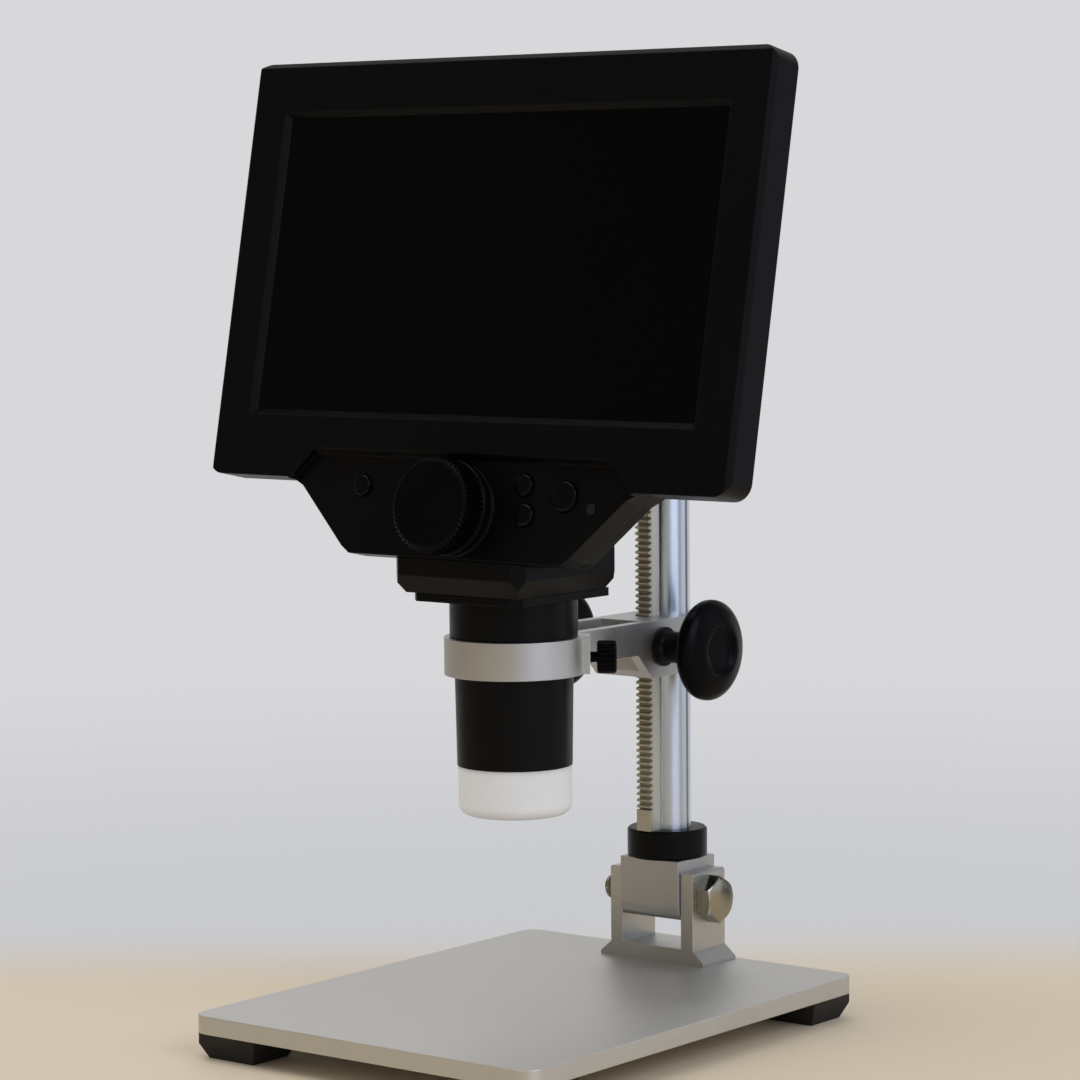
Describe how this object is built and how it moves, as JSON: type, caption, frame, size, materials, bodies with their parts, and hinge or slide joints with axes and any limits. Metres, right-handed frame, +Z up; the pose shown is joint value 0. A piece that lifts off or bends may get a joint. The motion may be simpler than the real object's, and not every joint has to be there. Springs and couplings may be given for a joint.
{
  "type": "lcd digital microscope",
  "caption": "Digital microscope with a tilted screen head, focus wheel and lit lens barrel, held by a clamp ring on a rack-and-pinion post over an aluminium base plate.",
  "frame": {"origin": "on the floor, midway between the left and right sides and between the front of the base plate and the back of the post collar", "axes": "+X to the user's right, +Y to the back, +Z up; the screen faces -Y"},
  "size_m": [0.18, 0.1516, 0.272],
  "materials": {
    "satin_aluminium": "satin blasted and clear anodised",
    "machined_aluminium": "fine machined",
    "post_steel": "bright drawn",
    "rack_steel": "milled",
    "zinc_steel": "bright zinc plate",
    "dark_steel": "black oxide",
    "feet_rubber": "matt",
    "black_plastic": "fine satin",
    "black_anodised": "satin anodised",
    "frosted_plastic": "milky, frosted",
    "clear_plastic": "clear",
    "pane_glass": "polished",
    "lens_glass": "coated",
    "screen_module": "gloss",
    "circuit_board": "solder resist",
    "lamp_white": "gloss",
    "battery_wrap": "foil",
    "nylon": "natural"
  },
  "bodies": {
    "stand": {"base_plate": "satin_aluminium", "base_feet": "feet_rubber", "foot_screws": "dark_steel", "post_bracket": "machined_aluminium", "bracket_screws": "dark_steel", "hinge_bolt": "zinc_steel"},
    "post": {"hinge_block": "machined_aluminium", "post_collar": "black_anodised", "post_column": "post_steel", "gear_rack": "rack_steel", "post_cap": "black_plastic"},
    "carriage": {"carriage": "machined_aluminium", "shaft_bushes": "zinc_steel", "brake_pad": "nylon", "brake_screw": "dark_steel"},
    "pinion": {"pinion_shaft": "post_steel", "knob_right": "black_plastic", "knob_left": "black_plastic"},
    "clamp_screw": {"clamp_thumbscrew": "black_plastic"},
    "head": {"barrel": "black_anodised", "lamp_cap": "frosted_plastic", "lamp_board": "circuit_board", "lamps": "lamp_white", "step_plate": "black_plastic", "neck_housing": "black_plastic", "neck_screws": "dark_steel", "sensor_board": "circuit_board", "front_cover": "black_plastic", "rear_cover": "black_plastic", "cover_screws": "dark_steel", "window_pane": "pane_glass", "lcd_module": "screen_module", "main_board": "circuit_board", "battery": "battery_wrap", "charge_socket": "zinc_steel", "card_slot": "zinc_steel", "button_board": "circuit_board", "focus_bush": "black_plastic", "status_light": "clear_plastic"},
    "focus_drive": {"focus_shaft": "post_steel", "focus_wheel": "black_plastic"},
    "lens_unit": {"lens_carrier": "black_plastic", "objective_lens": "lens_glass"},
    "power_key": {"power_button": "black_plastic"},
    "up_key": {"up_button": "black_plastic"},
    "down_key": {"down_button": "black_plastic"},
    "ok_key": {"ok_button": "black_plastic"}
  },
  "joints": [
    {"name": "post_tilt", "type": "hinge", "parent": "stand", "child": "post", "pos_m": [0, 0.0642, 0.031], "axis": [1, 0, 0], "range_deg": [-15, 10]},
    {"name": "carriage_slide", "type": "slide", "parent": "post", "child": "carriage", "axis": [0, 0, 1], "range_m": [-0.035, 0.13]},
    {"name": "pinion_turn", "type": "hinge", "parent": "carriage", "child": "pinion", "pos_m": [0, 0.04905, 0.1056], "axis": [1, 0, 0], "range_deg": [-1860, 503]},
    {"name": "clamp_turn", "type": "hinge", "parent": "carriage", "child": "clamp_screw", "pos_m": [0.0197, 0.00859, 0.1073], "axis": [0.788, 0.6157, 0], "range_deg": [0, 360]},
    {"name": "head_swivel", "type": "hinge", "parent": "carriage", "child": "head", "pos_m": [0, -0.0068, 0.108], "axis": [0, 0, 1], "range_deg": [-60, 60]},
    {"name": "lens_slide", "type": "slide", "parent": "head", "child": "lens_unit", "axis": [0, 0, 1], "range_m": [-0.004, 0.004]},
    {"name": "focus_turn", "type": "hinge", "parent": "head", "child": "focus_drive", "pos_m": [0, -0.03346, 0.15032], "axis": [0, -0.9799, 0.1994], "range_deg": [-79, 79]},
    {"name": "power_press", "type": "slide", "parent": "head", "child": "power_key", "axis": [0, 0.9799, -0.1994], "range_m": [0, 0.0005], "stiffness_N_per_m": 400, "springref_m": -0.0005},
    {"name": "up_press", "type": "slide", "parent": "head", "child": "up_key", "axis": [0, 0.9799, -0.1994], "range_m": [0, 0.0005], "stiffness_N_per_m": 400, "springref_m": -0.0005},
    {"name": "down_press", "type": "slide", "parent": "head", "child": "down_key", "axis": [0, 0.9799, -0.1994], "range_m": [0, 0.0005], "stiffness_N_per_m": 400, "springref_m": -0.0005},
    {"name": "ok_press", "type": "slide", "parent": "head", "child": "ok_key", "axis": [0, 0.9799, -0.1994], "range_m": [0, 0.0005], "stiffness_N_per_m": 400, "springref_m": -0.0005}
  ],
  "couplings": [
    {"joint": "pinion_turn", "follows": "carriage_slide", "rad_per_m": -249.33},
    {"joint": "focus_turn", "follows": "lens_slide", "rad_per_m": 342.06}
  ]
}
